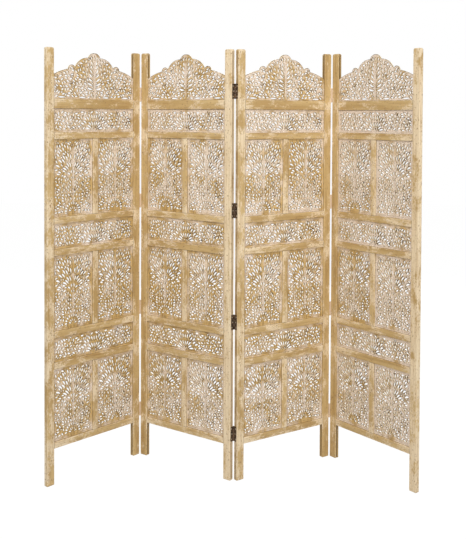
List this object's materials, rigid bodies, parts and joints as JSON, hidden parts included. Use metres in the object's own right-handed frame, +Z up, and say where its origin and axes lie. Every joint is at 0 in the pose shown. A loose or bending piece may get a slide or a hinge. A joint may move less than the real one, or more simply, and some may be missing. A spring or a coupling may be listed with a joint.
{
  "type": "carved folding screen",
  "caption": "Free-standing folding room screen of hinged wooden leaves with pierced carved panels and an ogee crest on each leaf.",
  "frame": {"origin": "on the floor under the middle of the open screen's outer box", "axes": "+Z up along the posts, +X to the right along the row of leaves, -Y towards the front, where the outer posts and the middle fold stand forward"},
  "size_m": [1.5538, 0.4338, 1.829],
  "materials": {
    "frame_wood": "waxed honey mango wood with rubbed whitewash",
    "carved_wood": "whitewashed carving with honey wood showing through",
    "hinge_iron": "dark antiqued iron"
  },
  "bodies": {
    "leaf_1": {"leaf_1_left_stile": "frame_wood", "leaf_1_right_stile": "frame_wood", "leaf_1_bottom_rail": "frame_wood", "leaf_1_mid_rails": "frame_wood", "leaf_1_top_rail": "frame_wood", "leaf_1_muntins": "frame_wood", "leaf_1_carved_panels": "carved_wood", "leaf_1_frieze_panels": "carved_wood", "leaf_1_crest": "carved_wood", "left_fold_plates_on_leaf_1": "hinge_iron", "left_fold_pins": "hinge_iron"},
    "leaf_2": {"leaf_2_left_stile": "frame_wood", "leaf_2_right_stile": "frame_wood", "leaf_2_bottom_rail": "frame_wood", "leaf_2_mid_rails": "frame_wood", "leaf_2_top_rail": "frame_wood", "leaf_2_muntins": "frame_wood", "leaf_2_carved_panels": "carved_wood", "leaf_2_frieze_panels": "carved_wood", "leaf_2_crest": "carved_wood", "left_fold_plates_on_leaf_2": "hinge_iron", "centre_fold_plates_on_leaf_2": "hinge_iron", "centre_fold_pins": "hinge_iron"},
    "leaf_3": {"leaf_3_left_stile": "frame_wood", "leaf_3_right_stile": "frame_wood", "leaf_3_bottom_rail": "frame_wood", "leaf_3_mid_rails": "frame_wood", "leaf_3_top_rail": "frame_wood", "leaf_3_muntins": "frame_wood", "leaf_3_carved_panels": "carved_wood", "leaf_3_frieze_panels": "carved_wood", "leaf_3_crest": "carved_wood", "centre_fold_plates_on_leaf_3": "hinge_iron", "right_fold_plates_on_leaf_3": "hinge_iron", "right_fold_pins": "hinge_iron"},
    "leaf_4": {"leaf_4_left_stile": "frame_wood", "leaf_4_right_stile": "frame_wood", "leaf_4_bottom_rail": "frame_wood", "leaf_4_mid_rails": "frame_wood", "leaf_4_top_rail": "frame_wood", "leaf_4_muntins": "frame_wood", "leaf_4_carved_panels": "carved_wood", "leaf_4_frieze_panels": "carved_wood", "leaf_4_crest": "carved_wood", "right_fold_plates_on_leaf_4": "hinge_iron"}
  },
  "joints": [
    {"name": "left_fold", "type": "hinge", "parent": "leaf_2", "child": "leaf_1", "pos_m": [-0.41587, 0.19903, 0.9145], "axis": [0, 0, 1], "range_deg": [-83.7, 96.3]},
    {"name": "centre_fold", "type": "hinge", "parent": "leaf_2", "child": "leaf_3", "pos_m": [0.0115, -0.0814, 0.9145], "axis": [0, 0, 1], "range_deg": [-70.5, 109.5]},
    {"name": "right_fold", "type": "hinge", "parent": "leaf_3", "child": "leaf_4", "pos_m": [0.44793, 0.18471, 0.9145], "axis": [0, 0, 1], "range_deg": [-93.3, 86.7]}
  ]
}
